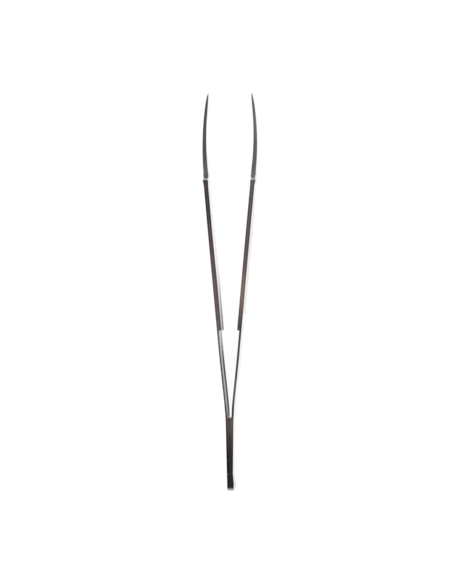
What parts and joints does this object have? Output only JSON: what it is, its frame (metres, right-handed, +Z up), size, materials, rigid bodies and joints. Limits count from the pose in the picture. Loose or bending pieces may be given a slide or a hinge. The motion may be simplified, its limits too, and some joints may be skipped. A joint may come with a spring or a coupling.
{
  "type": "aquascaping tweezers",
  "caption": "Long curved tweezers for planting aquariums: spring arms riveted and welded at the heel, thick grips and bowed, pointed, toothed jaws.",
  "frame": {"origin": "bottom centre of the whole object's box, with the tweezers lying on their side on the edges of their strips", "axes": "+Y runs along the tweezers from the heel to the points, X is the direction in which they open, with the left arm at -X and the right arm at +X, and +Z is up, across the width of the strips"},
  "size_m": [0.038, 0.27, 0.0096],
  "materials": {
    "spring_strip": "polished stainless strip, fine lengthwise grain",
    "grip_bar": "ground stainless bar, fine lengthwise grain",
    "jaw": "hand-ground and polished stainless",
    "silver_braze": "bright dressed silver braze",
    "heel": "dark polished stainless, dressed weld",
    "rivet": "flush-ground stainless rivet"
  },
  "bodies": {
    "heel": {"heel_spacer": "heel", "heel_weld": "heel", "heel_rivet_rear": "rivet", "heel_rivet_front": "rivet", "left_tang_strip": "spring_strip", "right_tang_strip": "spring_strip"},
    "left_arm": {"left_spring_leaf": "spring_strip", "left_grip_bar": "grip_bar", "left_braze_collar": "silver_braze", "left_jaw": "jaw"},
    "right_arm": {"right_spring_leaf": "spring_strip", "right_grip_bar": "grip_bar", "right_braze_collar": "silver_braze", "right_jaw": "jaw"}
  },
  "joints": [
    {"name": "left_arm_flex", "type": "hinge", "parent": "heel", "child": "left_arm", "pos_m": [-0.00447, -0.0595, 0.0048], "axis": [0, 0, -1], "range_deg": [0, 4.33], "stiffness_Nm_per_rad": 11},
    {"name": "right_arm_flex", "type": "hinge", "parent": "heel", "child": "right_arm", "pos_m": [0.00447, -0.0595, 0.0048], "axis": [0, 0, 1], "range_deg": [0, 4.33], "stiffness_Nm_per_rad": 11}
  ]
}
